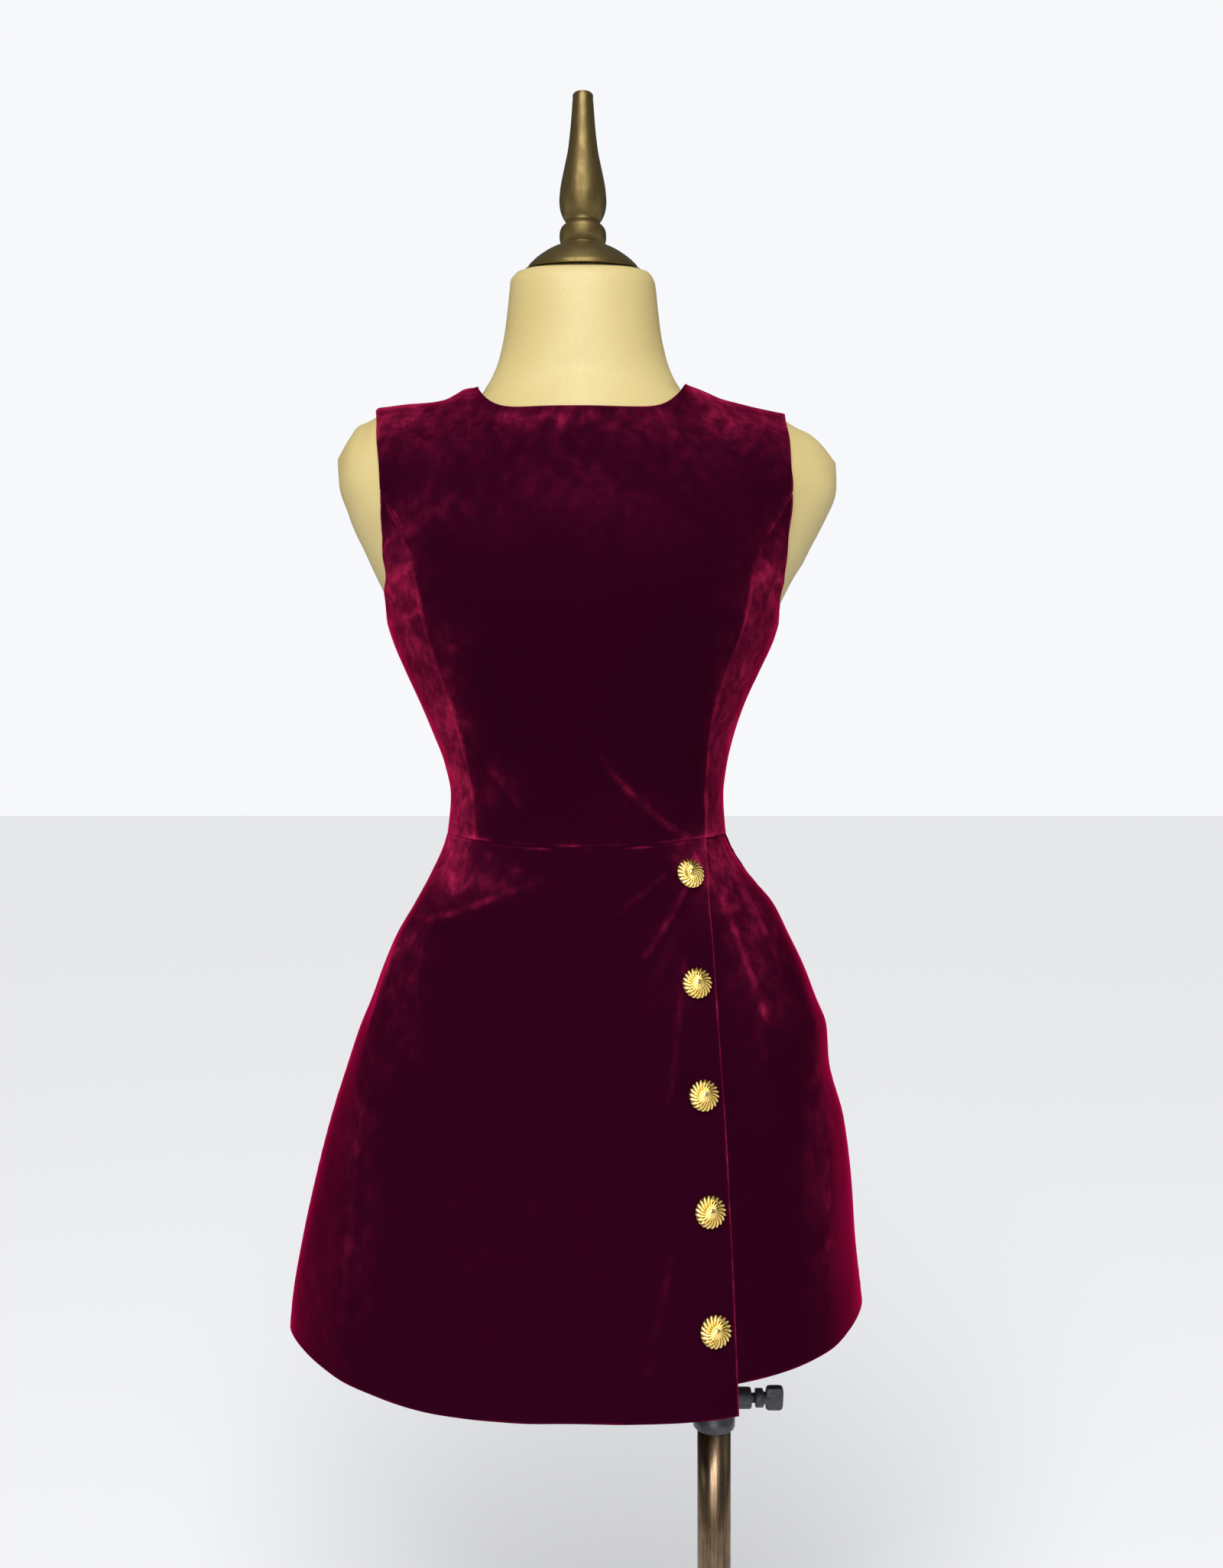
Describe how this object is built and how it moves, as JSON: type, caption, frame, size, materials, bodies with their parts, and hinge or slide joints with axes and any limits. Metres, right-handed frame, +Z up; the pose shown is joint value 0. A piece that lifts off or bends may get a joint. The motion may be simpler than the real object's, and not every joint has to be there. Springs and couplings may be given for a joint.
{
  "type": "sleeveless velvet dress on a limbless dress form with a pole stand",
  "caption": "Sleeveless round-neck velvet dress with a button-lapped A-line skirt, on a limbless dress form with a finial and an off-centre pole stand.",
  "frame": {"origin": "centre of the round base's underside", "axes": "+Z up, the dress faces -Y, +X to the viewer's right when facing the dress front (the wearer's left)"},
  "size_m": [0.4802, 0.38, 1.6478],
  "materials": {
    "velvet": "short-pile burgundy velvet with a crimson sheen",
    "jersey": "tight cream-gold jersey with a soft sheen",
    "gold_paint": "old-gold metallic paint, satin",
    "gilt": "bright gilt metal",
    "polished_steel": "polished steel",
    "dark_metal": "dark grey cast metal, worn",
    "base_steel": "brushed steel"
  },
  "bodies": {
    "stand": {"base_plate": "base_steel", "base_socket": "polished_steel", "pole": "polished_steel", "clamp_collar": "dark_metal"},
    "form": {"torso": "jersey", "neck_cap": "gold_paint", "finial": "gold_paint", "height_rod": "polished_steel", "bodice_front": "velvet", "side_front_left": "velvet", "side_front_right": "velvet", "side_back_left": "velvet", "side_back_right": "velvet", "back_left": "velvet", "back_right": "velvet", "skirt_front": "velvet", "skirt_underlap": "velvet", "skirt_back_left": "velvet", "skirt_back_right": "velvet", "button_1": "gilt", "button_2": "gilt", "button_3": "gilt", "button_4": "gilt", "button_5": "gilt"},
    "clamp_screw": {"clamp_screw": "dark_metal"}
  },
  "joints": [
    {"name": "height_slide", "type": "slide", "parent": "stand", "child": "form", "axis": [0, 0, 1], "range_m": [-0.1, 0.2]},
    {"name": "thumbscrew", "type": "hinge", "parent": "stand", "child": "clamp_screw", "pos_m": [0.14, 0, 0.554], "axis": [1, 0, 0], "range_deg": [0, 360]}
  ]
}
